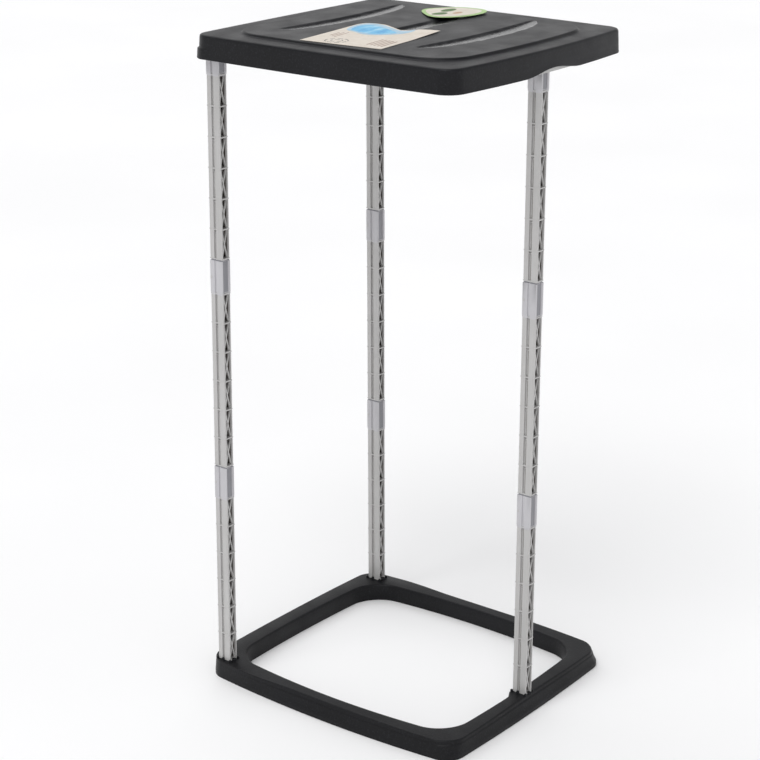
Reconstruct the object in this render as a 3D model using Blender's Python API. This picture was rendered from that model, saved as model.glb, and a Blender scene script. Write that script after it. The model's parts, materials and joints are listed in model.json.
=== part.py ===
"""Free-standing waste bag holder: black base ring, three plug-together legs, grey top ring
with a bag clamp ring, and a black hinged lid. Metres, +Z up, the single leg faces -Y."""
import math

import bmesh
import bpy
from mathutils import Matrix, Vector

MM = 0.001
CLEAR = 0.3

# base ring
BASE_HALF_X = 180.0
BASE_HALF_Y = 207.0
BASE_RADIUS = 22.0
BASE_BOW_X = 13.0
BASE_BOW_Y = 5.0
BASE_H = 25.0
BASE_WALL = 2.8
OPEN_HALF_X = 154.0
OPEN_HALF_Y = 181.0
OPEN_RADIUS = 42.0

# legs: (foot x, foot y, lean towards the middle in degrees)
LEGS = {
    "left": (-168.0, 183.0, 0.4),
    "right": (168.0, 183.0, -0.4),
    "front": (0.0, -193.0, 0.0),
}
LEVELS = ("lower", "middle", "upper")
BAY = 40.0
BAYS = 6
RIB_T = 2.0
LEG_HX = 7.25
LEG_HY = 10.25
PLATE_T = 2.2
BRACE_T = 1.0
GROOVE_DEPTH = 1.0
GROOVE_HALF = 2.9
GROOVE_Y = 1.0
SLEEVE_HX = 8.0
SLEEVE_HY = 11.0
SLEEVE_H = 45.7
SLEEVE_BORE_DEPTH = 30.0
PLUG_HX = 5.5
PLUG_HY = 8.3
PLUG_H = 20.0
PITCH = BAY * BAYS + SLEEVE_H + CLEAR
LEG_TOP = 3 * PITCH - CLEAR

# lid
LID_HALF_X = 188.0
LID_FRONT = -199.0
LID_REAR = 200.5
LID_RADIUS = 22.0
LID_BOW_X = 4.0
LID_BOW_FRONT = 11.0
LID_BOW_REAR = 2.5
LID_WALL = 2.0
LID_Z0 = 859.0
LID_Z1 = 889.0
PANEL_INSET = 31.0
PANEL_RADIUS = 44.0
PANEL_STEP = 3.0
LIP = 2.5
LIP_TOP = 871.0
ARCH_H = 6.5
ARCH_HALF = 62.0
ARCH_X = 10.0
CRESCENT_Y = (120.0, 13.0, -93.0)
CRESCENT_HALF = 124.0
CRESCENT_X = 18.0
CRESCENT_DEPTH = 1.4

# top ring and clamp ring
RING_GAP = 0.8
RING_WALL = 2.0
RING_W = 34.0
RING_Z0 = 860.5
RING_TOP = 885.7
RING_ROOF = 883.3
CLAMP_Z0 = 864.0
CLAMP_Z1 = 885.0
CLAMP_WALL = 2.2

# hinge
HINGE_Y = 197.0
HINGE_Z = 861.0
HINGE_X = (-110.0, 110.0)
PIN_R = 1.6
PIN_HOLE_R = 2.0
BLOCK_HALF = 6.0
LUG_T = 3.0

# labels
LABEL_T = 0.4
LABEL_AT = (-76.0, 4.0)
LABEL_SIZE = (148.0, 118.0)
LABEL_TURN = 6.0
TAG_AT = (121.0, 34.0)
TAG_SIZE = (78.0, 64.0)
TAG_TURN = 35.0

SIDE_STEPS = (-0.7, -0.4, -0.26, -0.16, -0.08, 0.0, 0.08, 0.16, 0.28, 0.42, 0.7)
ARC_STEPS = 6


def plan(half_x, front, rear, radius, bow_x, bow_front, bow_rear):
    """Closed plan outline of a rounded rectangle with bowed sides, anticlockwise."""
    mid = 0.5 * (front + rear)
    half_y = 0.5 * (rear - front)
    raw = []
    corners = ((1, 1), (-1, 1), (-1, -1), (1, -1))
    for quarter, (sx, sy) in enumerate(corners):
        cx = sx * (half_x - radius)
        cy = sy * (half_y - radius)
        arc = []
        for k in range(ARC_STEPS + 1):
            a = math.pi / 2 * (quarter + k / ARC_STEPS)
            arc.append((cx + radius * math.cos(a), cy + radius * math.sin(a)))
        raw.extend(arc)
        nx, ny = corners[(quarter + 1) % 4]
        a = math.pi / 2 * (quarter + 1)
        start = arc[-1]
        end = (nx * (half_x - radius) + radius * math.cos(a), ny * (half_y - radius) + radius * math.sin(a))
        for s in SIDE_STEPS:
            t = 0.5 + 0.5 * s
            raw.append((start[0] + (end[0] - start[0]) * t, start[1] + (end[1] - start[1]) * t))
    out = []
    for x, y in raw:
        bow_y = bow_rear if y > 0 else bow_front
        bx = x * (1 + bow_x / half_x * (1 - (y / half_y) ** 2))
        by = y * (1 + bow_y / half_y * (1 - (x / half_x) ** 2))
        out.append(Vector((bx, by + mid)))
    return out


def base_plan():
    return plan(BASE_HALF_X, -BASE_HALF_Y, BASE_HALF_Y, BASE_RADIUS, BASE_BOW_X, BASE_BOW_Y, BASE_BOW_Y)


def opening_plan():
    """Outline of the hole in the base, with a swelling that carries the front leg."""
    pts = plan(OPEN_HALF_X, -OPEN_HALF_Y, OPEN_HALF_Y, OPEN_RADIUS, BASE_BOW_X, BASE_BOW_Y, BASE_BOW_Y)
    for p in pts:
        if p.y < 0:
            p.y += 8.0 * math.exp(-((p.x / 17.0) ** 4))
    return pts


def lid_plan(inset, radius=None):
    r = radius or max(LID_RADIUS - inset, 12.0)
    return plan(LID_HALF_X - inset, LID_FRONT + inset, LID_REAR - inset, r, LID_BOW_X, LID_BOW_FRONT, LID_BOW_REAR)


def new_object(name, mesh_builder):
    mesh = bpy.data.meshes.new(name)
    bmesh.ops.recalc_face_normals(mesh_builder, faces=mesh_builder.faces)
    mesh_builder.to_mesh(mesh)
    mesh_builder.free()
    obj = bpy.data.objects.new(name, mesh)
    bpy.context.scene.collection.objects.link(obj)
    return obj


def loops_to_mesh(rows, closed):
    """Skin a list of equal closed loops; closed joins the last row to the first."""
    bm = bmesh.new()
    verts = []
    for row in rows:
        verts.append([bm.verts.new(Vector(p) * MM) for p in row])
    n = len(rows[0])
    spans = len(rows) if closed else len(rows) - 1
    for k in range(spans):
        lower = verts[k]
        upper = verts[(k + 1) % len(rows)]
        for i in range(n):
            j = (i + 1) % n
            bm.faces.new((lower[i], lower[j], upper[j], upper[i]))
    if not closed:
        bm.faces.new(verts[0])
        bm.faces.new(verts[-1])
    return bm


def box(bm, x, y, z, matrix=None):
    """Add a box given its (low, high) extents in millimetres."""
    made = bmesh.ops.create_cube(bm, size=1.0)["verts"]
    size = Matrix.Diagonal((x[1] - x[0], y[1] - y[0], z[1] - z[0], 1.0))
    centre = Matrix.Translation(((x[0] + x[1]) / 2, (y[0] + y[1]) / 2, (z[0] + z[1]) / 2))
    full = Matrix.Scale(MM, 4) @ (matrix or Matrix()) @ centre @ size
    bmesh.ops.transform(bm, matrix=full, verts=made)


def rod(bm, x, y, z, radius):
    """Add a rod along X between the two x values in millimetres."""
    made = bmesh.ops.create_cone(bm, cap_ends=True, segments=20, radius1=radius, radius2=radius, depth=x[1] - x[0])
    move = Matrix.Translation(((x[0] + x[1]) / 2, y, z)) @ Matrix.Rotation(math.pi / 2, 4, "Y")
    bmesh.ops.transform(bm, matrix=Matrix.Scale(MM, 4) @ move, verts=made["verts"])


def combine(obj, cutter_mesh, operation):
    """Apply one exact Boolean with a temporary tool body."""
    tool = new_object("tool", cutter_mesh)
    tool.hide_render = True
    tool.display_type = "WIRE"
    mod = obj.modifiers.new("combine", "BOOLEAN")
    mod.operation = operation
    mod.solver = "EXACT"
    mod.use_self = operation == "UNION"
    mod.object = tool
    bpy.context.view_layer.update()
    graph = bpy.context.evaluated_depsgraph_get()
    mesh = bpy.data.meshes.new_from_object(obj.evaluated_get(graph))
    obj.modifiers.clear()
    obj.data = mesh
    bpy.data.objects.remove(tool)


def material(obj, colour, roughness):
    mat = bpy.data.materials.new(obj.name)
    mat.use_nodes = True
    shader = mat.node_tree.nodes["Principled BSDF"]
    shader.inputs["Base Color"].default_value = (*colour, 1.0)
    shader.inputs["Roughness"].default_value = roughness
    shader.inputs["Metallic"].default_value = 0.0
    obj.data.materials.clear()
    obj.data.materials.append(mat)


def black_plastic(obj):
    material(obj, (0.022, 0.022, 0.024), 0.5)


def grey_plastic(obj):
    material(obj, (0.45, 0.445, 0.44), 0.42)


def card(obj):
    material(obj, (0.66, 0.6, 0.54), 0.7)


def leg_matrix(leg):
    x, y, lean = LEGS[leg]
    place = Matrix.Translation((x, y, BASE_H + CLEAR))
    return place @ Matrix.Rotation(math.radians(lean), 4, "Y")


def flange_share(point):
    """How far the foot flange stands out: full at the front, almost nothing at the rear."""
    t = min(max((150.0 - point.y) / 90.0, 0.0), 1.0)
    return 0.18 + 0.82 * t * t * (3 - 2 * t)


def near_leg(point, reach):
    return any((point - Vector((x, y))).length < reach for x, y, _ in LEGS.values())


def base_row(outer, inner, from_outer, from_inner, z, boss_z=None):
    """One loop of the base: a distance in from the flange or out from the opening."""
    row = []
    for o, i in zip(outer, inner):
        across = (i - o).normalized()
        if from_inner is None:
            p = o + across * from_outer * flange_share(o)
            if boss_z is not None:
                p = p + across * BASE_WALL
        else:
            p = i - across * from_inner
        height = boss_z if boss_z is not None and near_leg((o + i) / 2, 27.0) else z
        row.append((p.x, p.y, height))
    return row


def build_base():
    outer = base_plan()
    inner = opening_plan()
    rows = [
        base_row(outer, inner, 0.0, None, 0.0),
        base_row(outer, inner, 0.0, None, 6.0),
        base_row(outer, inner, 1.2, None, 9.0),
        base_row(outer, inner, 5.5, None, 17.0),
        base_row(outer, inner, 6.8, None, 21.5),
        base_row(outer, inner, 8.5, None, BASE_H),
        base_row(outer, inner, 0.0, 2.0, BASE_H),
        base_row(outer, inner, 0.0, 0.0, 22.5),
        base_row(outer, inner, 0.0, 0.0, 0.0),
        base_row(outer, inner, 0.0, BASE_WALL, 0.0),
        base_row(outer, inner, 0.0, BASE_WALL, BASE_H - BASE_WALL, 3.0),
        base_row(outer, inner, 8.0, None, BASE_H - BASE_WALL, 3.0),
        base_row(outer, inner, 0.0, None, 0.0, 0.0),
    ]
    base = new_object("base_ring", loops_to_mesh(rows, True))
    sockets = bmesh.new()
    for leg in LEGS:
        hx = PLUG_HX + CLEAR
        hy = PLUG_HY + CLEAR
        box(sockets, (-hx, hx), (-hy, hy), (-PLUG_H - CLEAR, 6.0), leg_matrix(leg))
    combine(base, sockets, "DIFFERENCE")
    black_plastic(base)


def truss(bm):
    """Side plates, cross ribs and crossed braces of one leg section, drawn in XZ."""
    a = LEG_HX - PLATE_T
    b = LEG_HX
    cache = {}

    def vert(x, z):
        key = (round(x, 4), round(z, 4))
        if key not in cache:
            cache[key] = bm.verts.new(Vector((x, -LEG_HY, z)) * MM)
        return cache[key]

    def face(*points):
        bm.faces.new([vert(x, z) for x, z in points])

    ribs = [(k * BAY - RIB_T / 2, k * BAY + RIB_T / 2) for k in range(BAYS + 1)]
    ribs[0] = (0.0, RIB_T)
    ribs[-1] = (BAYS * BAY - RIB_T / 2, BAYS * BAY + 2.0)
    for k in range(BAYS):
        z0 = ribs[k][1]
        z1 = ribs[k + 1][0]
        zc = (z0 + z1) / 2
        m = (z1 - z0) / (2 * a)
        p = BRACE_T * math.sqrt(1 + m * m)
        s = p / m
        face((-s, zc), (0, zc - p), (s, zc), (0, zc + p))
        for sx in (-1, 1):
            face((sx * a, z0), (sx * (a - s), z0), (0, zc - p), (sx * s, zc), (sx * a, z0 + p))
            face((sx * a, z1), (sx * (a - s), z1), (0, zc + p), (sx * s, zc), (sx * a, z1 - p))
            face((sx * b, z0), (sx * b, z1), (sx * a, z1), (sx * a, z1 - p), (sx * a, z0 + p), (sx * a, z0))
    for k, (r0, r1) in enumerate(ribs):
        h = ribs[1][0] - ribs[0][1]
        s_low = brace_foot(a, h if k == 1 else ribs[2][0] - ribs[1][1])
        s_high = brace_foot(a, h if k == 0 else ribs[2][0] - ribs[1][1])
        low = [(-a, r0), (a, r0)] if k == 0 else [(-a, r0), (-a + s_low, r0), (a - s_low, r0), (a, r0)]
        high = [(a, r1), (-a, r1)] if k == BAYS else [(a, r1), (a - s_high, r1), (-a + s_high, r1), (-a, r1)]
        face(*low, *high)
        for sx in (-1, 1):
            face((sx * a, r0), (sx * a, r1), (sx * b, r1), (sx * b, r0))


def brace_foot(a, height):
    m = height / (2 * a)
    return BRACE_T * math.sqrt(1 + m * m) / m


def leg_section_mesh():
    """Mesh of one leg section: plug below, open braced bays, socket sleeve on top."""
    bm = bmesh.new()
    truss(bm)
    grown = bmesh.ops.extrude_face_region(bm, geom=bm.faces[:])
    moved = [v for v in grown["geom"] if isinstance(v, bmesh.types.BMVert)]
    bmesh.ops.translate(bm, vec=(0, 2 * LEG_HY * MM, 0), verts=moved)
    obj = new_object("section", bm)
    top = BAYS * BAY
    sleeve = bmesh.new()
    box(sleeve, (-SLEEVE_HX, SLEEVE_HX), (-SLEEVE_HY, SLEEVE_HY), (top, top + SLEEVE_H))
    combine(obj, sleeve, "UNION")
    plug = bmesh.new()
    box(plug, (-PLUG_HX, PLUG_HX), (-PLUG_HY, PLUG_HY), (-PLUG_H, 1.0))
    combine(obj, plug, "UNION")
    cuts = bmesh.new()
    hx = PLUG_HX + CLEAR
    hy = PLUG_HY + CLEAR
    box(cuts, (-hx, hx), (-hy, hy), (top + SLEEVE_H - SLEEVE_BORE_DEPTH, top + SLEEVE_H + 5.0))
    for side in (-1, 1):
        near = side * (LEG_HX - GROOVE_DEPTH)
        far = side * (LEG_HX + 4.0)
        y = (GROOVE_Y - GROOVE_HALF, GROOVE_Y + GROOVE_HALF)
        box(cuts, (min(near, far), max(near, far)), y, (RIB_T + 1.0, top - RIB_T - 1.0))
    combine(obj, cuts, "DIFFERENCE")
    mesh = obj.data
    bpy.data.objects.remove(obj)
    return mesh


def build_legs():
    section = leg_section_mesh()
    for leg in LEGS:
        for level, word in enumerate(LEVELS):
            obj = bpy.data.objects.new("leg_%s_%s" % (leg, word), section.copy())
            bpy.context.scene.collection.objects.link(obj)
            where = leg_matrix(leg) @ Matrix.Translation((0, 0, level * PITCH))
            obj.data.transform(Matrix.Scale(MM, 4) @ where @ Matrix.Scale(1 / MM, 4))
            grey_plastic(obj)


def flat_row(pts, z):
    return [(p.x, p.y, z) for p in pts]


def build_top_ring():
    inset = LID_WALL + RING_GAP
    outer = lid_plan(inset)
    outer_in = lid_plan(inset + RING_WALL)
    inner_out = lid_plan(inset + RING_W - RING_WALL)
    inner = lid_plan(inset + RING_W)
    rows = [
        flat_row(outer, RING_Z0),
        flat_row(outer, RING_TOP - 0.8),
        flat_row(lid_plan(inset + 0.8), RING_TOP),
        flat_row(inner, RING_TOP),
        flat_row(inner, RING_Z0 + 4.0),
        flat_row(inner_out, RING_Z0 + 4.0),
        flat_row(inner_out, RING_ROOF),
        flat_row(outer_in, RING_ROOF),
        flat_row(outer_in, RING_Z0),
    ]
    ring = new_object("top_ring", loops_to_mesh(rows, True))
    add = bmesh.new()
    for leg in LEGS:
        spigot = (LEG_TOP - 22.0, LEG_TOP + 2.0)
        box(add, (-PLUG_HX, PLUG_HX), (-PLUG_HY, PLUG_HY), spigot, leg_matrix(leg))
    for x in HINGE_X:
        box(add, (x - BLOCK_HALF, x + BLOCK_HALF), (188.0, 199.9), (HINGE_Z - 3.2, RING_TOP - 1.0))
    combine(ring, add, "UNION")
    cut = bmesh.new()
    for x in HINGE_X:
        for side in (-1, 1):
            near = x + side * BLOCK_HALF
            far = x + side * (BLOCK_HALF + LUG_T + 1.2)
            box(cut, (min(near, far), max(near, far)), (189.0, 205.0), (850.0, HINGE_Z + 10.0))
    combine(ring, cut, "DIFFERENCE")
    holes = bmesh.new()
    for x in HINGE_X:
        rod(holes, (x - BLOCK_HALF - 2.0, x + BLOCK_HALF + 2.0), HINGE_Y, HINGE_Z, PIN_HOLE_R)
    combine(ring, holes, "DIFFERENCE")
    grey_plastic(ring)


def front_arch(row):
    """Lift the front edge of a loop in a smooth arch over the front leg."""
    for k, (x, y, z) in enumerate(row):
        away = x - ARCH_X
        if y < -185.0 and abs(away) < ARCH_HALF:
            rise = 0.5 + 0.5 * math.cos(math.pi * away / ARCH_HALF)
            row[k] = (x, y, z + ARCH_H * rise)


def build_clamp_ring():
    inset = LID_WALL + RING_GAP + RING_W + CLEAR
    rows = [
        flat_row(lid_plan(inset), CLAMP_Z0),
        flat_row(lid_plan(inset), CLAMP_Z1),
        flat_row(lid_plan(inset + CLAMP_WALL + 4.0), CLAMP_Z1),
        flat_row(lid_plan(inset + CLAMP_WALL + 4.0), CLAMP_Z1 - CLAMP_WALL),
        flat_row(lid_plan(inset + CLAMP_WALL), CLAMP_Z1 - CLAMP_WALL),
        flat_row(lid_plan(inset + CLAMP_WALL), CLAMP_Z0),
    ]
    clamp = new_object("bag_clamp_ring", loops_to_mesh(rows, True))
    grey_plastic(clamp)


def lip_row(z, grow, wall):
    """Skirt loop whose rear part stands out by the hinge lip."""
    row = []
    for p in lid_plan(wall):
        share = min(max((p.y - 168.0) / 14.0, 0.0), 1.0)
        away = Vector((p.x / LID_HALF_X * 0.35, 1.0)).normalized()
        q = p + away * grow * share * share * (3 - 2 * share)
        row.append((q.x, q.y, z))
    return row


def crescent(bm, y):
    """Shallow moon-shaped cutter along X, bowed towards the front."""
    upper = []
    lower = []
    steps = 12
    for k in range(steps + 1):
        t = -1 + 2 * k / steps
        x = CRESCENT_X + CRESCENT_HALF * t
        bend = -9.0 * (1 - t * t)
        upper.append((x, y + 2.0 + 0.2 * bend))
        lower.append((x, y - 2.0 + bend))
    ring = lower + upper[::-1]
    top = LID_Z1 + PANEL_STEP
    a = [bm.verts.new(Vector((x, yy, top - CRESCENT_DEPTH)) * MM) for x, yy in ring]
    b = [bm.verts.new(Vector((x, yy, top + 3.0)) * MM) for x, yy in ring]
    bm.faces.new(a)
    bm.faces.new(b)
    for i in range(len(ring)):
        j = (i + 1) % len(ring)
        bm.faces.new((a[i], a[j], b[j], b[i]))


def build_lid():
    top = LID_Z1 + PANEL_STEP
    under = LID_Z1 - 2.4
    panel_under = top - 2.4
    rows = [
        flat_row(lid_plan(PANEL_INSET + 3.0, PANEL_RADIUS), top),
        flat_row(lid_plan(PANEL_INSET, PANEL_RADIUS), LID_Z1),
        flat_row(lid_plan(2.2), LID_Z1),
        flat_row(lid_plan(0.6), LID_Z1 - 0.8),
        flat_row(lid_plan(0.0), LID_Z1 - 2.6),
        lip_row(LIP_TOP + 1.6, 0.0, 0.0),
        lip_row(LIP_TOP, LIP, 0.0),
        lip_row(LID_Z0, LIP, 0.0),
        lip_row(LID_Z0, LIP, LID_WALL),
        lip_row(LIP_TOP - 1.0, LIP, LID_WALL),
        lip_row(LIP_TOP + 0.6, 0.0, LID_WALL),
        flat_row(lid_plan(LID_WALL), under),
        flat_row(lid_plan(PANEL_INSET + 2.0, PANEL_RADIUS), under),
        flat_row(lid_plan(PANEL_INSET + 5.0, PANEL_RADIUS), panel_under),
    ]
    front_arch(rows[7])
    front_arch(rows[8])
    lid = new_object("lid", loops_to_mesh(rows, False))
    cuts = bmesh.new()
    for y in CRESCENT_Y:
        crescent(cuts, y)
    combine(lid, cuts, "DIFFERENCE")
    lugs = bmesh.new()
    for x in HINGE_X:
        for side in (-1, 1):
            near = x + side * (BLOCK_HALF + 0.5)
            far = x + side * (BLOCK_HALF + 0.5 + LUG_T)
            box(lugs, (min(near, far), max(near, far)), (HINGE_Y - 2.6, 204.0), (LID_Z0 + 0.4, HINGE_Z + 2.6))
    combine(lid, lugs, "UNION")
    pins = bmesh.new()
    for x in HINGE_X:
        for side in (-1, 1):
            inner = x + side * 1.5
            outer = x + side * (BLOCK_HALF + 0.5 + LUG_T - 1.0)
            rod(pins, (min(inner, outer), max(inner, outer)), HINGE_Y, HINGE_Z, PIN_R)
    combine(lid, pins, "UNION")
    pivot = Vector((0.0, HINGE_Y, HINGE_Z)) * MM
    lid.data.transform(Matrix.Translation(-pivot))
    lid.location = pivot
    black_plastic(lid)


def build_label(name, at, size, turn, radius):
    """A thin printed card lying on the raised panel of the lid."""
    z = LID_Z1 + PANEL_STEP + CLEAR
    turned = Matrix.Translation((at[0], at[1], 0)) @ Matrix.Rotation(math.radians(turn), 4, "Z")
    loop = []
    for quarter, (sx, sy) in enumerate(((1, 1), (-1, 1), (-1, -1), (1, -1))):
        for k in range(5):
            a = math.pi / 2 * (quarter + k / 4)
            x = sx * (size[0] / 2 - radius) + radius * math.cos(a)
            y = sy * (size[1] / 2 - radius) + radius * math.sin(a)
            loop.append(turned @ Vector((x, y, 0)))
    low = [(p.x, p.y, z) for p in loop]
    high = [(p.x, p.y, z + LABEL_T) for p in loop]
    obj = new_object(name, loops_to_mesh([low, high], False))
    card(obj)


def main():
    for obj in list(bpy.data.objects):
        bpy.data.objects.remove(obj)
    build_base()
    build_legs()
    build_top_ring()
    build_clamp_ring()
    build_lid()
    build_label("product_label", LABEL_AT, LABEL_SIZE, LABEL_TURN, 3.0)
    build_label("hang_tag", TAG_AT, TAG_SIZE, TAG_TURN, 18.0)


main()
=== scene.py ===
"""Looks of the free-standing bag holder: moulded base, braced leg sections, hinged lid with
pressed grooves, a printed label and a card tag, on a pale floor under soft light."""

import json
import math

import bmesh
import bpy
from mathutils import Matrix, Vector
from mathutils.geometry import delaunay_2d_cdt


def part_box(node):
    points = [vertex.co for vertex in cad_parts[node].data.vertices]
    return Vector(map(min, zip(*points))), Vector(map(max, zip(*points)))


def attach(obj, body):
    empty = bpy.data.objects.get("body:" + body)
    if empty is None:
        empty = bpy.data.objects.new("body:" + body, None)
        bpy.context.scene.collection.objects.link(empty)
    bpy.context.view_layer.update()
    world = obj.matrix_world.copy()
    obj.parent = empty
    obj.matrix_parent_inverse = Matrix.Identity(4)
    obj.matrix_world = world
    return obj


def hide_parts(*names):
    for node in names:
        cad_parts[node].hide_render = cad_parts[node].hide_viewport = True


MM = 0.001

# driving sizes in millimetres, the same as the CAD's
CORNERS = ((1, 1), (-1, 1), (-1, -1), (1, -1))
BASE = dict(half_x=180.0, front=-207.0, rear=207.0, radius=22.0, bow_x=13.0, bow_front=5.0, bow_rear=5.0)
OPENING = dict(half_x=154.0, front=-181.0, rear=181.0, radius=42.0, bow_x=13.0, bow_front=5.0, bow_rear=5.0)
LID = dict(half_x=188.0, front=-199.0, rear=200.5, radius=22.0, bow_x=4.0, bow_front=11.0, bow_rear=2.5)
LEGS = {"left": (-168.0, 183.0, 0.4), "right": (168.0, 183.0, -0.4), "front": (0.0, -193.0, 0.0)}
LEVELS = ("lower", "middle", "upper")
LEG_HX = 7.25
LEG_HY = 10.25
BAY = 40.0
BAYS = 6
SLEEVE_H = 45.7
PITCH = 286.0
HINGE_X = (-110.0, 110.0)
LABEL_AT = (-76.0, 4.0)
LABEL_TURN = 6.0
TAG_AT = (121.0, 34.0)
ARCH_X = 10.0
ARCH_HALF = 62.0
ARCH_H = 6.5
LIP_TOP = 871.0
LIP = 2.5

# light: strength of the room and of the two large far lights
WORLD = 1.0
SUN_LEFT = 1.2
SUN_BACK = 0.7

# camera: direction in degrees, distance and aim in metres, lens and sensor in millimetres
AZIMUTH = -52.37
ELEVATION = 19.21
ROLL = 0.1
DISTANCE = 2.7256
TARGET = (-0.0285, 0.0293, 0.427)
AIM_SIDE = 0.002652781
AIM_UP = -0.000663195
SENSOR = 36.0
LENS = 97.33736842

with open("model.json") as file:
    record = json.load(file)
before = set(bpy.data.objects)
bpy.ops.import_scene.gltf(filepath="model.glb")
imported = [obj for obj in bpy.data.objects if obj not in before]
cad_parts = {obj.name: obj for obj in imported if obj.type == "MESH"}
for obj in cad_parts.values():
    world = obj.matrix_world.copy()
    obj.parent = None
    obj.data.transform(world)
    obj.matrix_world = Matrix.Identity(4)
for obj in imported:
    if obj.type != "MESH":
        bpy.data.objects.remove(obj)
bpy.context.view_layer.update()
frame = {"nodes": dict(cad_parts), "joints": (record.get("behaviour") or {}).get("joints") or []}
BASE_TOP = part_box("base_ring")[1][2] / MM
LID_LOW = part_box("lid")[0][2] / MM
PANEL_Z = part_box("lid")[1][2] / MM
RIM_Z = PANEL_Z - 3.0
HINGE = frame["joints"][0]["pos_m"]


# ---------------------------------------------------------------- outlines
def plan(half_x, front, rear, radius, bow_x, bow_front, bow_rear, arc=12, side=48):
    """Closed plan outline of a rounded rectangle with bowed sides, anticlockwise."""
    mid = 0.5 * (front + rear)
    half_y = 0.5 * (rear - front)
    across = half_x - radius
    along = half_y - radius
    raw = []
    for quarter, (sx, sy) in enumerate(CORNERS):
        turn = [math.pi / 2 * (quarter + k / arc) for k in range(arc + 1)]
        corner = [
            Vector((sx * across + radius * math.cos(a), sy * along + radius * math.sin(a)))
            for a in turn
        ]
        raw.extend(corner)
        nx, ny = CORNERS[(quarter + 1) % 4]
        last = turn[-1]
        end = Vector((nx * across + radius * math.cos(last), ny * along + radius * math.sin(last)))
        raw.extend(corner[-1].lerp(end, k / side) for k in range(1, side))
    out = []
    for p in raw:
        bow = bow_rear if p.y > 0 else bow_front
        x = p.x * (1 + bow_x / half_x * (1 - (p.y / half_y) ** 2))
        y = p.y * (1 + bow / half_y * (1 - (p.x / half_x) ** 2))
        out.append(Vector((x, y + mid)))
    return out


def lid_plan(inset):
    """Lid outline drawn in by an inset; the raised panel has rounder corners."""
    d = dict(LID)
    d["half_x"] -= inset
    d["front"] += inset
    d["rear"] -= inset
    d["radius"] = 44.0 if inset > 20 else max(d["radius"] - inset, 14.0)
    return plan(**d)


def smooth(t):
    t = min(max(t, 0.0), 1.0)
    return t * t * (3 - 2 * t)


# ---------------------------------------------------------------- mesh helpers
def skin(bm, rows, closed=False, caps=True, index=0):
    """Skin a list of equal closed loops."""
    made = []
    verts = [[bm.verts.new(Vector(p) * MM) for p in row] for row in rows]
    n = len(rows[0])
    for k in range(len(rows) if closed else len(rows) - 1):
        lower = verts[k]
        upper = verts[(k + 1) % len(rows)]
        for i in range(n):
            j = (i + 1) % n
            made.append(bm.faces.new((lower[i], lower[j], upper[j], upper[i])))
    if not closed and caps:
        made.append(bm.faces.new(verts[0]))
        made.append(bm.faces.new(verts[-1]))
    for face in made:
        face.material_index = index
    return verts


def prism(bm, loop, low, high, index=0):
    """Upright prism over a flat loop of (x, y) points."""
    skin(bm, [[(x, y, low) for x, y in loop], [(x, y, high) for x, y in loop]], index=index)


def slab(bm, x, y, z, index=0):
    loop = [(x[0], y[0]), (x[1], y[0]), (x[1], y[1]), (x[0], y[1])]
    prism(bm, loop, z[0], z[1], index)


def rod_x(bm, x, y, z, radius, segments=24):
    turns = [2 * math.pi * k / segments for k in range(segments)]
    loop = [(radius * math.cos(a), radius * math.sin(a)) for a in turns]
    skin(bm, [[(xx, y + a, z + b) for a, b in loop] for xx in x])


def finish_piece(name, bm, mats, body, nodes=(), bevel=0.0, sharp=32.0):
    bmesh.ops.recalc_face_normals(bm, faces=bm.faces)
    mesh = bpy.data.meshes.new(name)
    bm.to_mesh(mesh)
    bm.free()
    mesh.polygons.foreach_set("use_smooth", [True] * len(mesh.polygons))
    mesh.set_sharp_from_angle(angle=math.radians(sharp))
    obj = bpy.data.objects.new(name, mesh)
    bpy.context.scene.collection.objects.link(obj)
    for mat in mats:
        mesh.materials.append(mat)
    if bevel:
        mod = obj.modifiers.new("edge", "BEVEL")
        mod.width = bevel * MM
        mod.segments = 2
        mod.limit_method = "ANGLE"
        mod.angle_limit = math.radians(40)
        mod.harden_normals = False
    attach(obj, body)
    if nodes:
        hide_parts(*nodes)
    return obj


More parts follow.
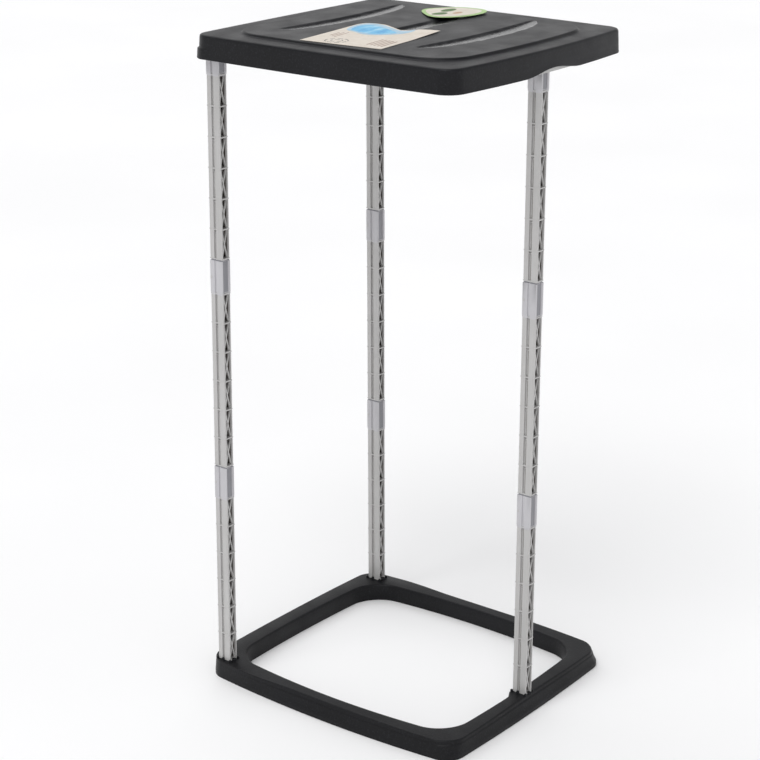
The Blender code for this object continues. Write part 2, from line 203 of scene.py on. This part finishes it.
# ---------------------------------------------------------------- materials
class Nodes:
    """Small helper that builds one node material."""

    def __init__(self, name):
        self.mat = bpy.data.materials.new(name)
        self.mat.use_nodes = True
        self.tree = self.mat.node_tree
        self.shader = self.tree.nodes["Principled BSDF"]
        self.coords = self.add("ShaderNodeTexCoord").outputs["Object"]

    def add(self, kind, **values):
        node = self.tree.nodes.new(kind)
        for key, value in values.items():
            setattr(node, key, value)
        return node

    def link(self, a, b):
        self.tree.links.new(a, b)

    def stretched(self, scale):
        node = self.add("ShaderNodeMapping")
        node.inputs["Scale"].default_value = scale
        self.link(self.coords, node.inputs["Vector"])
        return node.outputs["Vector"]

    def noise(self, scale, detail=3.0, vector=None, rough=0.5):
        node = self.add("ShaderNodeTexNoise")
        node.inputs["Scale"].default_value = scale
        node.inputs["Detail"].default_value = detail
        node.inputs["Roughness"].default_value = rough
        self.link(vector or self.coords, node.inputs["Vector"])
        return node.outputs["Fac"]

    def ramp(self, fac, stops):
        node = self.add("ShaderNodeValToRGB")
        elements = node.color_ramp.elements
        elements[0].position, elements[0].color = stops[0][0], (*stops[0][1], 1)
        elements[1].position, elements[1].color = stops[-1][0], (*stops[-1][1], 1)
        for place, colour in stops[1:-1]:
            elements.new(place).color = (*colour, 1)
        self.link(fac, node.inputs["Fac"])
        return node.outputs["Color"]

    def span(self, fac, low, high, from_low=0.3, from_high=0.7):
        node = self.add("ShaderNodeMapRange")
        for key, value in zip(("From Min", "From Max", "To Min", "To Max"), (from_low, from_high, low, high)):
            node.inputs[key].default_value = value
        self.link(fac, node.inputs["Value"])
        return node.outputs["Result"]

    def mix(self, fac, a, b, blend="MIX"):
        node = self.add("ShaderNodeMix", data_type="RGBA", blend_type=blend)
        if isinstance(fac, float):
            node.inputs[0].default_value = fac
        else:
            self.link(fac, node.inputs[0])
        for socket, value in ((node.inputs[6], a), (node.inputs[7], b)):
            if isinstance(value, tuple):
                socket.default_value = (*value, 1)
            else:
                self.link(value, socket)
        return node.outputs[2]

    def bump(self, layers):
        """Chain of (height, strength, distance in mm) bumps."""
        normal = None
        for height, strength, distance in layers:
            node = self.add("ShaderNodeBump")
            node.inputs["Strength"].default_value = strength
            node.inputs["Distance"].default_value = distance * MM
            self.link(height, node.inputs["Height"])
            if normal:
                self.link(normal, node.inputs["Normal"])
            normal = node.outputs["Normal"]
        self.link(normal, self.shader.inputs["Normal"])

    def set(self, socket, value):
        if isinstance(value, (float, int)):
            self.shader.inputs[socket].default_value = value
        else:
            self.link(value, self.shader.inputs[socket])


def black_plastic(name, dark, pale, rough, level=0.2):
    """Spark-eroded black polypropylene: fine grain, soft blotches and light dust, with sharp edges painted
    paler as a painted edge highlight.
    """
    n = Nodes(name)
    blotch = n.noise(9.0, 4.0)
    colour = n.ramp(blotch, ((0.3, dark), (0.7, pale)))
    pebble = n.noise(430.0, 3.0, rough=0.6)
    fleck = n.span(pebble, 0.0, 0.7, 0.52, 0.72)
    colour = n.mix(fleck, colour, tuple(c * 2.4 for c in pale))
    # painted highlight: sharp convex edges are mixed towards a paler black
    edge = n.span(n.add("ShaderNodeNewGeometry").outputs["Pointiness"], 0.0, 0.45, 0.52, 0.6)
    colour = n.mix(edge, colour, tuple(c * 2.0 for c in pale))
    n.link(colour, n.shader.inputs["Base Color"])
    n.set("Roughness", n.span(n.noise(26.0, 4.0), rough - 0.05, rough + 0.06))
    n.set("Specular IOR Level", level)
    grain = n.noise(1100.0, 2.0, rough=0.6)
    n.bump(((pebble, 0.45, 0.30), (grain, 0.3, 0.12), (n.noise(14.0, 2.0), 0.25, 0.5)))
    return n.mat


def grey_plastic(name, low, high, rough):
    """Silver pigmented plastic: upright flow streaks, metallic flecks, and sharp edges painted paler as a
    painted edge highlight.
    """
    n = Nodes(name)
    streak = n.noise(1.0, 4.0, n.stretched((260.0, 260.0, 9.0)))
    cloud = n.noise(22.0, 3.0)
    both = n.mix(0.5, streak, cloud)
    colour = n.ramp(both, ((0.35, low), (0.65, high)))
    fleck = n.span(n.noise(1900.0, 1.0), 0.0, 0.5, 0.6, 0.75)
    colour = n.mix(fleck, colour, tuple(min(c * 1.35, 0.9) for c in high))
    # painted highlight: sharp convex edges are mixed towards a paler grey
    edge = n.span(n.add("ShaderNodeNewGeometry").outputs["Pointiness"], 0.0, 0.35, 0.52, 0.62)
    colour = n.mix(edge, colour, tuple(min(c * 1.25, 0.9) for c in high))
    n.link(colour, n.shader.inputs["Base Color"])
    n.set("Roughness", n.span(n.noise(60.0, 3.0), rough - 0.05, rough + 0.07))
    n.set("Metallic", 0.12)
    n.set("Specular IOR Level", 0.5)
    n.bump(((n.noise(900.0, 2.0), 0.2, 0.06), (n.noise(120.0, 2.0), 0.2, 0.12)))
    return n.mat


def printed(name, low, high, rough=0.6):
    """Printed paper or card: faint fibre, slight ink mottling."""
    n = Nodes(name)
    colour = n.ramp(n.noise(70.0, 5.0, rough=0.7), ((0.3, low), (0.7, high)))
    n.link(colour, n.shader.inputs["Base Color"])
    n.set("Roughness", n.span(n.noise(160.0, 3.0), rough - 0.08, rough + 0.08))
    n.set("Specular IOR Level", 0.4)
    n.bump(((n.noise(800.0, 4.0), 0.25, 0.05), (n.noise(30.0, 2.0), 0.3, 0.5)))
    return n.mat


def blue_ink():
    """Watery blue print, pale at the crest and deeper in the body."""
    n = Nodes("blue_ink")
    wash = n.noise(1.0, 4.0, n.stretched((26.0, 60.0, 20.0)), 0.6)
    colour = n.ramp(wash, ((0.25, (0.04, 0.30, 0.66)), (0.5, (0.16, 0.52, 0.80)), (0.75, (0.50, 0.76, 0.90))))
    n.link(colour, n.shader.inputs["Base Color"])
    n.set("Roughness", n.span(n.noise(160.0, 3.0), 0.42, 0.55))
    n.bump(((n.noise(800.0, 4.0), 0.2, 0.04),))
    return n.mat


# ---------------------------------------------------------------- base
def flange_share(y):
    """How much of the stepped foot is left towards the rear of the base."""
    return 0.18 + 0.82 * smooth((150.0 - y) / 90.0)


def opening_plan():
    pts = plan(**OPENING)
    for p in pts:
        if p.y < 0:
            p.y += 8.0 * math.exp(-((p.x / 17.0) ** 4))
    return pts


def build_base(mat):
    outer = plan(**BASE)
    inner = opening_plan()
    top = BASE_TOP
    foot = (
        (1.0, 0.0), (0.2, 0.5), (0.0, 1.4), (0.0, 5.2), (0.15, 6.4), (0.7, 7.6), (1.7, 9.2), (3.0, 12.0),
        (4.2, 15.0), (5.0, 17.6), (5.4, 18.9), (6.4, 19.5), (6.9, 20.2), (7.0, 22.0), (7.3, 23.5),
        (8.0, 24.5), (9.2, top - 0.05), (10.4, top),
    )
    lip = (
        (4.0, top), (2.4, top - 0.1), (1.2, top - 0.7), (0.4, top - 1.8), (0.05, top - 3.6),
        (0.0, 1.2), (0.4, 0.3), (1.2, 0.0),
    )

    def row(from_outer, from_inner, z):
        out = []
        for o, i in zip(outer, inner):
            across = (i - o).normalized()
            p = o + across * from_outer * flange_share(o.y) if from_inner is None else i - across * from_inner
            out.append((p.x, p.y, z))
        return out

    def recess(depth_out, depth_in, z):
        out = []
        for o, i in zip(outer, inner):
            across = (i - o).normalized()
            outside = o + across * (2.8 + depth_out * flange_share(o.y))
            p = outside if depth_in is None else i - across * depth_in
            middle = (o + i) / 2
            near = min((middle - Vector(leg[:2])).length for leg in LEGS.values())
            boss = smooth((34.0 - near) / 8.0) if z > 1 else 0.0
            out.append((p.x, p.y, z + (3.0 - z) * boss))
        return out

    rows = [row(a, None, z) for a, z in foot] + [row(0, a, z) for a, z in lip]
    rows += [recess(0, 2.8, 0.0), recess(0, 3.0, 21.8), recess(9.0, None, 21.8), recess(0.0, None, 0.0)]
    bm = bmesh.new()
    skin(bm, rows, closed=True)
    for x, y, lean in LEGS.values():
        crown(bm, x, y, lean)
    finish_piece("base_moulding", bm, [mat], "stand", ["base_ring"], sharp=50.0)


def crown(bm, x0, y0, lean):
    """Low scalloped keys that stand round the foot of a leg and fill its grooves."""
    keys = []
    for sx, sy in CORNERS:
        keys.append((sx * (LEG_HX + 1.1), sy * (LEG_HY + 0.9), 1.9, 3.0))
    for side in (-1, 1):
        keys.append((side * (LEG_HX + 0.9), 1.3, 2.2, 3.4))
        keys.append((0.4, side * (LEG_HY + 0.8), 3.4, 2.6))
    for dx, dy, radius, height in keys:
        ring = [(math.cos(2 * math.pi * k / 14), math.sin(2 * math.pi * k / 14)) for k in range(14)]
        rows = []
        for share, z in ((1.0, -0.4), (1.0, height * 0.55), (0.85, height * 0.82), (0.5, height)):
            r = radius * share
            rows.append([(x0 + dx + r * c, y0 + dy + r * s, BASE_TOP + z) for c, s in ring])
        skin(bm, rows)


# ---------------------------------------------------------------- legs
def plate_loop(side):
    """Folded side plate of a leg seen from above: flat strips with one sunken channel."""
    hx = LEG_HX
    hy = LEG_HY
    pts = [
        (hx - 0.5, -hy), (hx, -hy + 0.6), (hx, -1.0), (hx - 0.5, -0.8), (hx - 2.3, -0.6), (hx - 2.3, 2.9),
        (hx - 0.5, 3.1), (hx, 3.3), (hx, hy - 0.6), (hx - 0.5, hy), (5.2, hy), (5.2, 7.4),
        (5.2, 4.6), (3.3, 4.2), (3.3, -1.9), (5.2, -2.3), (5.2, -7.4), (5.2, -hy),
    ]
    return [(side * x, y) for x, y in pts]


def lattice(bm, y0, y1):
    """Crossed braces of every bay as one connected plate each, between y0 and y1."""
    a = 5.3
    brace = 0.95
    for k in range(BAYS):
        z0 = k * BAY + 0.6
        z1 = (k + 1) * BAY - 0.6
        zc = (z0 + z1) / 2
        m = (z1 - z0) / (2 * a)
        p = brace * math.sqrt(1 + m * m)
        s = p / m
        shapes = [[(-s, zc), (0, zc - p), (s, zc), (0, zc + p)]]
        for sx in (-1, 1):
            shapes.append([(sx * a, z0), (sx * (a - s), z0), (0, zc - p), (sx * s, zc), (sx * a, z0 + p)])
            shapes.append([(sx * a, z1), (sx * (a - s), z1), (0, zc + p), (sx * s, zc), (sx * a, z1 - p)])
        cache = {}
        faces = []
        for shape in shapes:
            ring = []
            for x, z in shape:
                key = (round(x, 3), round(z, 3))
                if key not in cache:
                    cache[key] = bm.verts.new(Vector((x, y0, z)) * MM)
                ring.append(cache[key])
            faces.append(bm.faces.new(ring))
        grown = bmesh.ops.extrude_face_region(bm, geom=faces, use_keep_orig=True)
        moved = [v for v in grown["geom"] if isinstance(v, bmesh.types.BMVert)]
        bmesh.ops.translate(bm, vec=(0, (y1 - y0) * MM, 0), verts=moved)


def sleeve(bm):
    """Socket sleeve with shallow upright channels on its faces and a bevelled foot."""
    hx = 8.0
    hy = 11.0
    loop = [
        (hx, -hy + 1.0), (hx, -0.9), (hx - 1.3, -0.5), (hx - 1.3, 2.3), (hx, 2.7), (hx, hy - 1.0),
        (hx - 1.0, hy),
        (5.0, hy), (4.4, hy - 1.6), (-4.4, hy - 1.6), (-5.0, hy), (-hx + 1.0, hy),
    ]
    loop += [
        (-hx, hy - 1.0), (-hx, 2.7), (-hx + 1.3, 2.3), (-hx + 1.3, -0.5), (-hx, -0.9), (-hx, -hy + 1.0),
        (-hx + 1.0, -hy), (-6.8, -hy), (-6.2, -hy + 1.5), (3.8, -hy + 1.5), (4.4, -hy), (hx - 1.0, -hy),
    ]

    def at(scale, z):
        return [(x * scale, y * scale, z) for x, y in loop]

    def bore(z):
        out = []
        for x, y in loop:
            k = max(abs(x) / 5.9, abs(y) / 8.7)
            out.append((x / k, y / k, z))
        return out

    low = BAYS * BAY
    high = low + SLEEVE_H
    rows = [at(0.9, low - 2.0), at(0.93, low - 1.2), at(1.0, low + 2.4)]
    rows += [at(1.0, high - 2.0), at(0.97, high - 1.5)]
    rows += [at(0.86, high - 0.9), at(0.86, high), bore(high), bore(high - 30.0)]
    skin(bm, rows, index=2)
    bm.faces.ensure_lookup_table()
    for face in bm.faces:
        spot = face.calc_center_median() / MM
        if spot.z < low - 2.1 or face.material_index != 2:
            continue
        # painted shade: the floors of the front and rear channels take the darker grey
        if abs(spot.x) < 4.5 and low + 1.0 < spot.z < high - 2.0 and 9.2 < abs(spot.y) < 9.6:
            face.material_index = 3
        # painted shade: the top chamfer and rim take the darker grey, a dark line under the next section's
        # foot
        if spot.z > high - 1.6:
            face.material_index = 3
    slab(bm, (-hx - 0.25, -hx + 1.0), (7.0, 9.2), (low + 20.0, low + 23.5))
    slab(bm, (hx - 1.0, hx + 0.6), (-9.4, -7.8), (low + 27.0, low + 30.0))


def section_mesh():
    """One leg section: folded plates, cross ribs, braces, an inner web in painted cavity shade, plug and
    sleeve.
    """
    bm = bmesh.new()
    for side in (-1, 1):
        prism(bm, plate_loop(side), 0.0, BAYS * BAY + 0.8)
    # painted shade: inner faces of the plates round the channel take the dark cavity material
    for face in bm.faces:
        spot = face.calc_center_median() / MM
        if abs(spot.x) < 5.3 and 2.4 < abs(spot.y) < 7.0 and face.calc_area() > 1e-5:
            face.material_index = 1
    grow = 0.14
    for k in range(BAYS + 1):
        z = max(k * BAY, 0.8)
        slab(bm, (-LEG_HX - grow, LEG_HX + grow), (-LEG_HY - grow, LEG_HY + grow), (z - 0.8, z + 0.8))
        if 0 < k < BAYS:
            slab(bm, (-LEG_HX + 0.9, LEG_HX - 0.9), (-1.4, 3.8), (z - 4.3, z - 3.5))
    lattice(bm, -LEG_HY + 1.9, -LEG_HY + 3.9)
    lattice(bm, LEG_HY - 3.9, LEG_HY - 1.9)
    # painted shade: a dark web closes the middle of the leg and stands in for the shaded cavity between the
    # braces
    slab(bm, (-5.3, 5.3), (-0.9, 0.9), (0.4, BAYS * BAY), index=1)
    slab(bm, (-5.6, 5.6), (-8.4, 8.4), (-20.0, 0.3))
    sleeve(bm)
    return bm


def build_legs(mats):
    for leg, (x, y, lean) in LEGS.items():
        place = Matrix.Translation((x, y, BASE_TOP + 0.3)) @ Matrix.Rotation(math.radians(lean), 4, "Y")
        for level, word in enumerate(LEVELS):
            bm = section_mesh()
            where = place @ Matrix.Translation((0, 0, level * PITCH))
            bm.transform(Matrix.Scale(MM, 4) @ where @ Matrix.Scale(1 / MM, 4))
            node = "leg_%s_%s" % (leg, word)
            finish_piece(node + "_moulding", bm, mats, "stand", [node], bevel=0.4)


# ---------------------------------------------------------------- lid
GROOVES = (117.0, 10.0, -96.0)
GROOVE_X = 18.0
GROOVE_HALF = 125.0
GROOVE_SINK = 2.4
# lid faces tilted towards +Y more than this take a glossier, paler black: a painted sheen on the near slopes
# of the grooves
SHEEN_TILT = 0.05


def groove_depth(x, y):
    """How far the raised panel sinks at a point: three moon-shaped pressed grooves."""
    sink = 0.0
    t = (x - GROOVE_X) / GROOVE_HALF
    for centre in GROOVES:
        bend = -10.0 * (1 - t * t)
        s = y - (centre + 8.0 + bend)
        if abs(t) < 1:
            fade = math.sqrt(1 - t ** 4)
            far = smooth((4.6 * fade + 0.6 - s) / (2.0 * fade + 0.4))
            near = min(max((s + 22.0 * fade + 0.6) / (24.2 * fade + 0.6), 0.0), 1.0)
            sink += GROOVE_SINK * fade * min(far, near)
    return sink


def panel_points(loop):
    """Points inside the panel: rows close together across the grooves, sparse elsewhere."""
    inside = []
    lines = []
    y = -176.0
    while y < 172.0:
        step = 5.0
        for centre in GROOVES:
            if centre - 27.0 < y < centre + 16.0:
                step = 1.5
        lines.append(y)
        y += step
    for k, y in enumerate(lines):
        xs = crossings(loop, y)
        if len(xs) < 2:
            continue
        low, high = min(xs) + 2.0, max(xs) - 2.0
        count = int((high - low) / 4.0)
        shift = 0.5 * (k % 2)
        inside.extend(Vector((low + (high - low) * (i + shift) / count, y)) for i in range(count))
    return inside


def crossings(loop, y):
    """Where a closed outline crosses one line of constant y."""
    out = []
    for a, b in zip(loop, loop[1:] + loop[:1]):
        if (a.y - y) * (b.y - y) < 0:
            out.append(a.x + (b.x - a.x) * (y - a.y) / (b.y - a.y))
    return out


def skirt_row(inset, z, lip, arch=0.0):
    """Loop of the lid skirt; its rear stands out by the lip and its front rises in an arch."""
    row = []
    for p in lid_plan(inset):
        share = smooth((p.y - 168.0) / 14.0) * lip
        away = Vector((p.x / LID["half_x"] * 0.35, 1.0)).normalized()
        q = p + away * share
        rise = 0.0
        if p.y < -185.0 and abs(p.x - ARCH_X) < ARCH_HALF:
            rise = ARCH_H * (0.5 + 0.5 * math.cos(math.pi * (p.x - ARCH_X) / ARCH_HALF)) * arch
        row.append((q.x, q.y, z + rise))
    return row


def build_lid(mats):
    bm = bmesh.new()
    inner = 35.5
    loop = lid_plan(inner)
    step = ((34.4, 0.0), (33.6, -0.25), (33.0, -0.8), (32.3, -2.0), (31.7, -2.7), (30.9, -3.0), (29.0, -3.0))
    edge = (
        (14.0, -3.0), (6.0, -3.02), (4.2, -3.15), (3.0, -3.6), (2.2, -4.4), (1.7, -5.6), (1.45, -7.2),
        (1.2, -12.0),
    )
    rows = [[(p.x, p.y, PANEL_Z) for p in loop]]
    rows += [[(p.x, p.y, PANEL_Z + z) for p in lid_plan(i)] for i, z in step + edge]
    low = LID_LOW
    rows += [
        skirt_row(0.8, LIP_TOP + 2.2, 0.0), skirt_row(0.75, LIP_TOP + 1.4, 0.4),
        skirt_row(0.7, LIP_TOP + 0.6, 2.1), skirt_row(0.7, LIP_TOP - 0.4, LIP),
        skirt_row(0.3, low + 3.0, LIP, 1.0), skirt_row(0.0, low + 1.6, LIP, 1.0),
        skirt_row(0.0, low + 0.4, LIP, 1.0), skirt_row(0.4, low, LIP, 1.0),
        skirt_row(1.6, low, LIP, 1.0), skirt_row(2.1, low + 0.5, LIP, 1.0),
        skirt_row(2.3, LIP_TOP - 1.0, 2.3), skirt_row(2.5, LIP_TOP + 1.0, 0.0),
        skirt_row(2.9, RIM_Z - 3.4, 0.0), skirt_row(4.0, RIM_Z - 2.4, 0.0),
        skirt_row(32.0, RIM_Z - 2.3, 0.0), skirt_row(36.0, RIM_Z - 0.6, 0.0),
    ]
    verts = skin(bm, rows, caps=False)
    bm.faces.new(verts[-1])
    points = panel_points(loop)
    n = len(loop)
    edges = [(i, (i + 1) % n) for i in range(n)]
    out = delaunay_2d_cdt(loop + points, edges, [], 1, 1e-5)
    top = []
    for k, p in enumerate(out[0]):
        if k < n:
            top.append(verts[0][k])
        else:
            top.append(bm.verts.new(Vector((p.x, p.y, PANEL_Z - groove_depth(p.x, p.y))) * MM))
    for face in out[2]:
        made = bm.faces.new([top[i] for i in face])
        made.normal_update()
        tilt = made.normal * (1 if made.normal.z > 0 else -1)
        # painted sheen: groove slopes facing +Y take the glossier, paler black
        if tilt.y > SHEEN_TILT:
            made.material_index = 1
    for x in HINGE_X:
        for side in (-1, 1):
            near, far = x + side * 6.5, x + side * 9.5
            y, z = HINGE[1] / MM, HINGE[2] / MM
            slab(bm, (min(near, far), max(near, far)), (y - 2.6, 203.6), (z - 1.6, z + 2.6))
            rod_x(bm, sorted((x + side * 1.5, x + side * 8.0)), y, z, 1.6)
    finish_piece("lid_moulding", bm, mats, "lid", ["lid"], sharp=40.0)


# ---------------------------------------------------------------- label and tag
def rounded(points, repeats=3):
    """Corner-cutting smoothing of a closed outline."""
    for _ in range(repeats):
        out = []
        for a, b in zip(points, points[1:] + points[:1]):
            out.append((a[0] * 0.78 + b[0] * 0.22, a[1] * 0.78 + b[1] * 0.22))
            out.append((a[0] * 0.22 + b[0] * 0.78, a[1] * 0.22 + b[1] * 0.78))
        points = out
    return points


def sheet(bm, outline, surface, lift, thick, index, step=6.0):
    """Thin closed sheet over an outline, following a height function."""
    loop = [Vector(p) for p in outline]
    n = len(loop)
    points = []
    low = min(p.y for p in loop)
    high = max(p.y for p in loop)
    rows = int((high - low) / step)
    for k in range(1, rows):
        y = low + (high - low) * k / rows + 0.013
        xs = sorted(crossings(loop, y))
        for a, b in zip(xs[0::2], xs[1::2]):
            count = max(int((b - a) / step), 1)
            points.extend(Vector((a + (b - a) * (i + 0.5) / count, y)) for i in range(count))
    edges = [(i, (i + 1) % n) for i in range(n)]
    out = delaunay_2d_cdt(loop + points, edges, [], 1, 1e-5)
    tops = []
    lows = []
    for p in out[0]:
        x, y, z = surface(p.x, p.y)
        tops.append(bm.verts.new(Vector((x, y, z + lift + thick)) * MM))
        lows.append(bm.verts.new(Vector((x, y, z + lift)) * MM))
    for face in out[2]:
        bm.faces.new([tops[i] for i in face]).material_index = index
        bm.faces.new([lows[i] for i in reversed(face)]).material_index = index
    for i, j in edges:
        bm.faces.new((tops[i], tops[j], lows[j], lows[i])).material_index = index


def label_surface(x, y):
    """A point of the label laid on the panel, its far right part lifting slightly."""
    c, s = math.cos(math.radians(LABEL_TURN)), math.sin(math.radians(LABEL_TURN))
    z = PANEL_Z + 0.3 + 0.9 * smooth((x - 20.0) / 55.0) + 0.25 * math.sin(x / 17.0) * math.sin(y / 23.0)
    return LABEL_AT[0] + c * x - s * y, LABEL_AT[1] + s * x + c * y, z


def bar(x, y, w, h):
    return [(x, y), (x + w, y), (x + w, y + h), (x, y + h)]


def ring_bits(cx, cy, radius, count):
    """Short arcs round a circle, a plain round mark."""
    bits = []
    for k in range(count):
        a0 = 2 * math.pi * k / count
        a1 = a0 + 2 * math.pi / count * 0.66
        arc = [a0 + (a1 - a0) * t / 4 for t in range(5)]
        out = [(cx + radius * math.cos(a), cy + radius * math.sin(a)) for a in arc]
        back = [(cx + (radius - 1.5) * math.cos(a), cy + (radius - 1.5) * math.sin(a)) for a in reversed(arc)]
        bits.append(out + back)
    return bits


def build_label(mats):
    outline = [(-72, 57), (-73, 0), (-73, -59), (0, -59), (71, -57), (70, -44), (66, -32), (54, -24)]
    outline += [(50, -12), (62, 6), (74, 24), (76, 40), (72, 52), (60, 57), (0, 58)]
    bm = bmesh.new()
    sheet(bm, outline, label_surface, 0.0, 0.25, 0)
    wave = [(16, 47), (34, 54), (54, 55), (70, 50), (74, 40), (71, 26), (58, 6), (47, -11), (48, -22)]
    wave += [(62, -28), (48, -31), (34, -28), (14, -14), (2, 1), (2, 16), (12, 32)]
    core = [(20, 44), (40, 49), (58, 46), (62, 34), (54, 16), (42, -4), (34, -19), (18, -10), (8, 4)]
    core += [(12, 22)]
    sheet(bm, rounded(wave), label_surface, 0.30, 0.08, 2)
    sheet(bm, rounded(core), label_surface, 0.42, 0.08, 1)
    marks = ring_bits(-52, 17, 15, 9) + ring_bits(-52, 17, 8, 5)
    for mark in marks:
        sheet(bm, mark, label_surface, 0.30, 0.06, 3, step=3.0)
    for k in range(5):
        sheet(bm, bar(-60 + k, -52 + 5.5 * k, 38, 2.4), label_surface, 0.30, 0.06, 4, step=5.0)
    for k in range(3):
        sheet(bm, bar(-30 + 3 * k, 34 + 5 * k, 34 - 6 * k, 1.6), label_surface, 0.30, 0.06, 4, step=5.0)
    finish_piece("label_sheet", bm, mats, "lid", ["product_label"])


def tag_surface(x, y):
    """A point of the card tag, bent so that its near side stands up from the lid."""
    z = PANEL_Z + 0.6 + 1.3 * smooth((20.0 - y) / 60.0) + 1.0 * (x / 44.0) ** 2
    return TAG_AT[0] + x, TAG_AT[1] + y, z


def build_tag(mats):
    outline = rounded([(-47, -8), (-47, -30), (-12, -46), (26, -48), (42, -36), (45, 10), (14, 40), (-8, 36)])
    inner = [(x * 0.86 + 1.5, y * 0.86) for x, y in outline]
    bm = bmesh.new()
    sheet(bm, outline, tag_surface, 0.0, 0.5, 0)
    sheet(bm, inner, tag_surface, 0.56, 0.08, 1)
    for cx, cy, rx, ry in ((-16, -2, 13, 9), (15, 6, 14, 8), (2, -18, 9, 5)):
        turns = [2 * math.pi * k / 16 for k in range(16)]
        blob = [(cx + rx * math.cos(a), cy + ry * math.sin(a)) for a in turns]
        sheet(bm, blob, tag_surface, 0.70, 0.06, 3 if cy < -10 else 2, step=4.0)
    finish_piece("tag_card", bm, mats, "lid", ["hang_tag"])


# ---------------------------------------------------------------- stage
def build_stage():
    bm = bmesh.new()
    slab(bm, (-60000, 60000), (-60000, 60000), (-20, 0))
    mesh = bpy.data.meshes.new("floor")
    bm.to_mesh(mesh)
    bm.free()
    floor = bpy.data.objects.new("floor", mesh)
    bpy.context.scene.collection.objects.link(floor)
    n = Nodes("floor_white")
    pale = n.ramp(n.noise(1.5, 2.0), ((0.3, (0.955, 0.955, 0.955)), (0.7, (0.98, 0.98, 0.98))))
    n.link(pale, n.shader.inputs["Base Color"])
    n.set("Roughness", 0.9)
    mesh.materials.append(n.mat)
    world = bpy.data.worlds.new("soft_room")
    bpy.context.scene.world = world
    world.use_nodes = True
    sky = world.node_tree.nodes["Background"]
    sky.inputs["Strength"].default_value = WORLD
    tree = world.node_tree
    split = tree.nodes.new("ShaderNodeSeparateXYZ")
    tree.links.new(tree.nodes.new("ShaderNodeTexCoord").outputs["Generated"], split.inputs["Vector"])
    ramp = tree.nodes.new("ShaderNodeValToRGB")
    ramp.color_ramp.elements[0].position = 0.1
    ramp.color_ramp.elements[0].color = (1, 1, 1, 1)
    ramp.color_ramp.elements[1].position = 0.55
    ramp.color_ramp.elements[1].color = (0.45, 0.45, 0.46, 1)
    tree.links.new(split.outputs["Z"], ramp.inputs["Fac"])
    tree.links.new(ramp.outputs["Color"], sky.inputs["Color"])
    sun("high_left", (-0.62, -0.12, 1.0), 38.0, SUN_LEFT)
    sun("high_back", (0.25, 0.55, 1.0), 50.0, SUN_BACK)


def sun(name, towards, spread, power):
    """Very large soft light far away, given by the direction it comes from."""
    light = bpy.data.lights.new(name, "SUN")
    light.angle = math.radians(spread)
    light.energy = power
    obj = bpy.data.objects.new(name, light)
    bpy.context.scene.collection.objects.link(obj)
    obj.rotation_euler = Vector(towards).to_track_quat("Z", "Y").to_euler()


def build_camera():
    """Camera of the reference view: a long lens a little above the middle of the stand."""
    cam = bpy.data.cameras.new("camera")
    cam.sensor_width = SENSOR
    cam.lens = LENS
    obj = bpy.data.objects.new("camera", cam)
    bpy.context.scene.collection.objects.link(obj)
    az = math.radians(AZIMUTH)
    el = math.radians(ELEVATION)
    back = Vector((math.sin(az) * math.cos(el), -math.cos(az) * math.cos(el), math.sin(el)))
    side = Vector((math.cos(az), math.sin(az), 0))
    up = back.cross(side)
    aim = Vector(TARGET) + side * AIM_SIDE + up * AIM_UP
    obj.location = aim + back * DISTANCE
    turn = back.to_track_quat("Z", "Y").to_matrix().to_4x4() @ Matrix.Rotation(math.radians(ROLL), 4, "Z")
    obj.rotation_euler = turn.to_euler()
    bpy.context.scene.camera = obj


def main():
    bpy.context.scene.view_settings.view_transform = "Standard"
    black = black_plastic("black_moulding", (0.0042, 0.0043, 0.0052), (0.0075, 0.0077, 0.0092), 0.44)
    black_lid = black_plastic("black_lid", (0.0042, 0.0044, 0.0056), (0.0078, 0.0080, 0.0100), 0.40)
    # glossier and paler copy of the lid black, a painted sheen for groove slopes that face +Y
    painted_sheen_black = black_plastic("black_painted_sheen", (0.006, 0.0062, 0.0075), (0.010, 0.0103, 0.0125), 0.2, 0.5)
    grey = grey_plastic("grey_moulding", (0.40, 0.395, 0.385), (0.47, 0.465, 0.46), 0.36)
    # dark brown-grey, painted shade for the leg's inner web and the plates' inner faces
    painted_cavity_shade = grey_plastic("grey_painted_cavity_shade", (0.055, 0.043, 0.036), (0.095, 0.075, 0.063), 0.6)
    cuff = grey_plastic("grey_cuff", (0.43, 0.425, 0.44), (0.49, 0.485, 0.505), 0.36)
    # darker copy of the leg grey, painted shade for the sleeve channel floors and top chamfer
    painted_recess_shade = grey_plastic("grey_painted_recess_shade", (0.20, 0.20, 0.215), (0.26, 0.26, 0.28), 0.5)
    paper = printed("label_paper", (0.68, 0.61, 0.52), (0.80, 0.74, 0.66))
    cream = printed("tag_cream", (0.66, 0.60, 0.50), (0.76, 0.72, 0.64))
    green = printed("tag_green", (0.34, 0.52, 0.20), (0.48, 0.66, 0.32))
    leaf = printed("tag_leaf", (0.05, 0.13, 0.04), (0.14, 0.22, 0.08))
    warm = printed("tag_warm", (0.50, 0.30, 0.20), (0.60, 0.42, 0.30))
    tan = printed("label_tan", (0.34, 0.24, 0.20), (0.48, 0.36, 0.30))
    ink = printed("label_ink", (0.12, 0.12, 0.12), (0.22, 0.22, 0.22))
    pale_blue = printed("label_pale_blue", (0.34, 0.52, 0.66), (0.52, 0.68, 0.78))
    build_base(black)
    build_legs([grey, painted_cavity_shade, cuff, painted_recess_shade])
    build_lid([black_lid, painted_sheen_black])
    build_label([paper, blue_ink(), pale_blue, ink, tan])
    build_tag([green, cream, leaf, warm])
    for node in ("top_ring", "bag_clamp_ring"):
        obj = frame["nodes"][node]
        obj.material_slots[0].material = grey
    build_stage()
    build_camera()


main()
